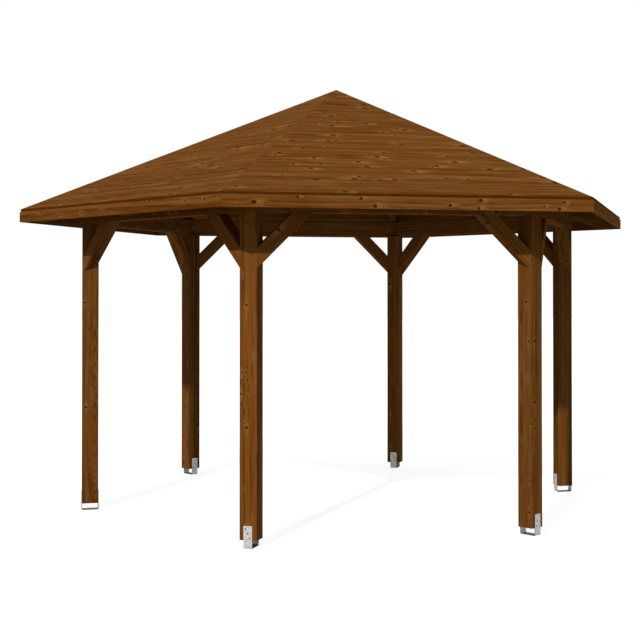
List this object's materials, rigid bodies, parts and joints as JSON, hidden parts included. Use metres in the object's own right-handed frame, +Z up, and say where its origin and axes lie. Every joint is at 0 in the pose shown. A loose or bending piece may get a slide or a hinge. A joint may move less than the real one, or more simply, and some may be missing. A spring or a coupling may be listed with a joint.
{
  "type": "hexagonal garden gazebo",
  "caption": "Open hexagonal timber garden gazebo: square posts in bent steel shoes, braced mitred ring beams and a low pyramid roof of boards on hip rafters.",
  "frame": {"origin": "middle of the hexagon on the ground, level with the undersides of the post shoes", "axes": "+Z up along the axis of the roof; +X through the corner post on the right; -Y is the front, square to the side between the two front posts"},
  "size_m": [4.93, 4.2696, 3.2774],
  "materials": {
    "stained_post_wood": "walnut stained laminated spruce, upright grain, small dark knots",
    "stained_frame_wood": "walnut stained planed spruce with softened edges",
    "roof_board_wood": "walnut stained tongue and groove spruce boards",
    "fascia_wood": "walnut stained spruce board with red-brown knots",
    "galvanised_steel": "hot-dip galvanised sheet steel, softly mottled"
  },
  "bodies": {
    "root": {"braces_back_left": "stained_frame_wood", "braces_back_right": "stained_frame_wood", "braces_front_left": "stained_frame_wood", "braces_front_right": "stained_frame_wood", "braces_left": "stained_frame_wood", "braces_right": "stained_frame_wood", "fascia_back": "fascia_wood", "fascia_back_left": "fascia_wood", "fascia_back_right": "fascia_wood", "fascia_front": "fascia_wood", "fascia_front_left": "fascia_wood", "fascia_front_right": "fascia_wood", "hip_rafter_back_left": "stained_frame_wood", "hip_rafter_back_right": "stained_frame_wood", "hip_rafter_front_left": "stained_frame_wood", "hip_rafter_front_right": "stained_frame_wood", "hip_rafter_left": "stained_frame_wood", "hip_rafter_right": "stained_frame_wood", "mid_rafters": "stained_frame_wood", "post_back_left": "stained_post_wood", "post_back_right": "stained_post_wood", "post_front_left": "stained_post_wood", "post_front_right": "stained_post_wood", "post_left": "stained_post_wood", "post_right": "stained_post_wood", "post_shoe_back_left": "galvanised_steel", "post_shoe_back_right": "galvanised_steel", "post_shoe_front_left": "galvanised_steel", "post_shoe_front_right": "galvanised_steel", "post_shoe_left": "galvanised_steel", "post_shoe_right": "galvanised_steel", "ring_beam_back": "stained_frame_wood", "ring_beam_back_left": "stained_frame_wood", "ring_beam_back_right": "stained_frame_wood", "ring_beam_front": "stained_frame_wood", "ring_beam_front_left": "stained_frame_wood", "ring_beam_front_right": "stained_frame_wood", "roof_boss": "stained_frame_wood", "roof_panel_back": "roof_board_wood", "roof_panel_back_left": "roof_board_wood", "roof_panel_back_right": "roof_board_wood", "roof_panel_front": "roof_board_wood", "roof_panel_front_left": "roof_board_wood", "roof_panel_front_right": "roof_board_wood"}
  },
  "joints": []
}
